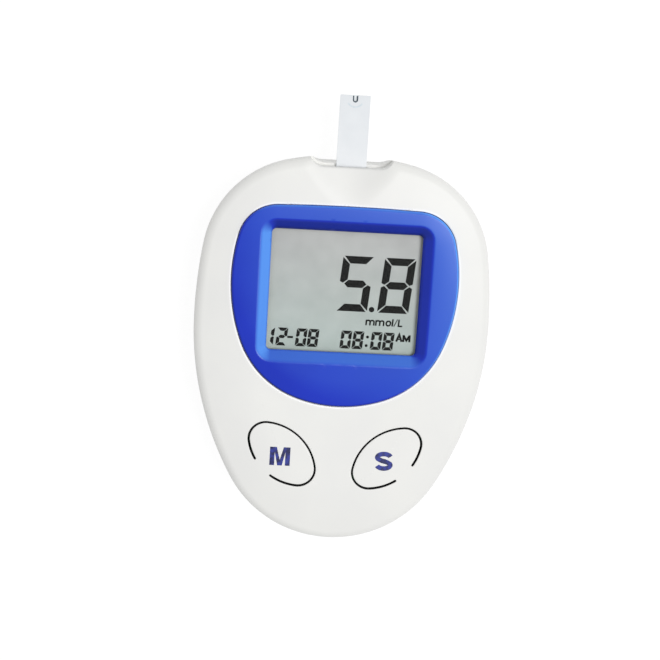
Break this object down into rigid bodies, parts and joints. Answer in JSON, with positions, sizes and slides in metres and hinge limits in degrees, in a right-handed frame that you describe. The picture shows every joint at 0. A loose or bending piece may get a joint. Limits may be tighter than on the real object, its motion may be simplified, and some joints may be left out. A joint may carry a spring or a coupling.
{
  "type": "blood glucose meter",
  "caption": "Egg-shaped blood glucose meter with a blue-bezelled display, hinged keys, strip port, coin-cell door and an inserted test strip.",
  "frame": {"origin": "on the resting face, midway between the two ends of the housing, on the centre line", "axes": "+X is right for the reader, +Y runs toward the test strip, +Z comes out of the display"},
  "size_m": [0.0668, 0.1019, 0.019],
  "materials": {
    "white_abs": "satin injection-moulded ABS",
    "rear_abs": "fine-textured injection-moulded ABS",
    "blue_abs": "glossy blue injection-moulded ABS",
    "lens_acrylic": "clear hard-coated acrylic",
    "polariser_film": "anti-glare polarising film",
    "display_glass": "ground display glass",
    "reflector_film": "grey-silver reflector film",
    "carrier_plastic": "natural nylon moulding",
    "striped_rubber": "layered conductive silicone strip",
    "board_laminate": "green solder mask over fibreglass",
    "chip_resin": "black epoxy chip package",
    "plated_can": "nickel-plated can",
    "ceramic_chip": "sintered ceramic with tinned ends",
    "black_plastic": "black moulded nylon",
    "port_plastic": "white liquid-crystal polymer",
    "gold_spring": "gold-plated spring bronze",
    "cell_steel": "nickel-plated pressed steel can",
    "plated_spring": "tin-plated spring steel",
    "screw_steel": "zinc-plated steel",
    "label_film": "matt polyester label",
    "plunger_plastic": "ivory acetal",
    "strip_film": "white polyester film",
    "carbon_ink": "screen-printed carbon ink",
    "strip_spacer_film": "adhesive-coated polyester film",
    "strip_cover_film": "hydrophilic polyester film"
  },
  "bodies": {
    "meter_case": {"front_housing": "white_abs", "rear_housing": "rear_abs", "display_bezel": "blue_abs", "display_lens": "lens_acrylic", "lcd_polariser": "polariser_film", "lcd_front_glass": "display_glass", "lcd_rear_glass": "display_glass", "lcd_reflector": "reflector_film", "lcd_carrier": "carrier_plastic", "lcd_connector": "striped_rubber", "main_board": "board_laminate", "microcontroller": "chip_resin", "analog_chip": "chip_resin", "clock_crystal": "plated_can", "board_passives": "ceramic_chip", "buzzer": "black_plastic", "strip_port_housing": "port_plastic", "strip_port_contacts": "gold_spring", "memory_switch_body": "black_plastic", "set_switch_body": "black_plastic", "coin_cell": "cell_steel", "battery_positive_contact": "plated_spring", "battery_negative_contact": "plated_spring", "housing_screws": "screw_steel", "board_screws": "screw_steel", "rear_label": "label_film"},
    "memory_button": {"memory_button": "white_abs"},
    "set_button": {"set_button": "white_abs"},
    "memory_plunger": {"memory_switch_plunger": "plunger_plastic"},
    "set_plunger": {"set_switch_plunger": "plunger_plastic"},
    "battery_door": {"battery_door": "rear_abs"},
    "test_strip": {"strip_base": "strip_film", "strip_tracks": "carbon_ink", "strip_spacer": "strip_spacer_film", "strip_cover": "strip_cover_film"}
  },
  "joints": [
    {"name": "memory_button_press", "type": "hinge", "parent": "meter_case", "child": "memory_button", "pos_m": [-0.01571, -0.02812, 0.0172], "axis": [-0.7431, 0.6691, 0], "range_deg": [0, 2.3], "stiffness_Nm_per_rad": 0.4},
    {"name": "memory_plunger_travel", "type": "slide", "parent": "meter_case", "child": "memory_plunger", "axis": [0, 0, -1], "range_m": [0, 0.0003]},
    {"name": "set_button_press", "type": "hinge", "parent": "meter_case", "child": "set_button", "pos_m": [0.01571, -0.02812, 0.0172], "axis": [-0.7431, -0.6691, 0], "range_deg": [0, 2.3], "stiffness_Nm_per_rad": 0.4},
    {"name": "set_plunger_travel", "type": "slide", "parent": "meter_case", "child": "set_plunger", "axis": [0, 0, -1], "range_m": [0, 0.0003]},
    {"name": "battery_door_slide", "type": "slide", "parent": "meter_case", "child": "battery_door", "axis": [0, -1, 0], "range_m": [0, 0.046]},
    {"name": "test_strip_slide", "type": "slide", "parent": "meter_case", "child": "test_strip", "axis": [0, 1, 0], "range_m": [0, 0.014]}
  ],
  "couplings": [
    {"joint": "memory_plunger_travel", "follows": "memory_button_press", "m_per_rad": 0.00705},
    {"joint": "set_plunger_travel", "follows": "set_button_press", "m_per_rad": 0.00705}
  ]
}
